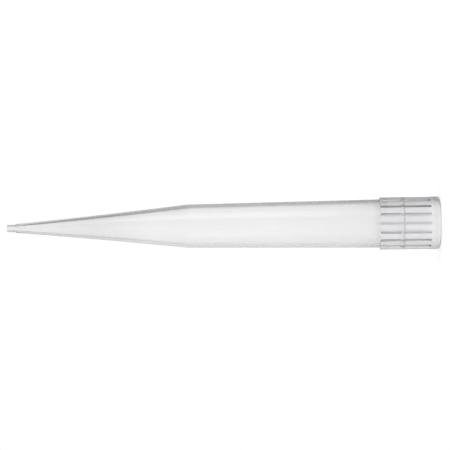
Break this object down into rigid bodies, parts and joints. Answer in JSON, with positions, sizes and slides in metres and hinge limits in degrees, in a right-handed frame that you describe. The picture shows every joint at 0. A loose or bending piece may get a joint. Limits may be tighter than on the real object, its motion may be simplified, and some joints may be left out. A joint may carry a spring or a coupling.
{
  "type": "pipette tip",
  "caption": "Straight clear pipette tip with a fluted collar round its socket, a thin tapered barrel, and a long cone that ends in a fine orifice.",
  "frame": {"origin": "centre of the mouth, in the plane of the mouth's rim that the tip stands on", "axes": "+Z along the tip's axis from the mouth to the point; +X through the middle of one flute of the collar"},
  "size_m": [0.0086, 0.0086, 0.071],
  "materials": {
    "polypropylene": "natural translucent polypropylene, smooth outside and satin inside, with grained flutes"
  },
  "bodies": {
    "root": {"pipette_tip": "polypropylene"}
  },
  "joints": []
}
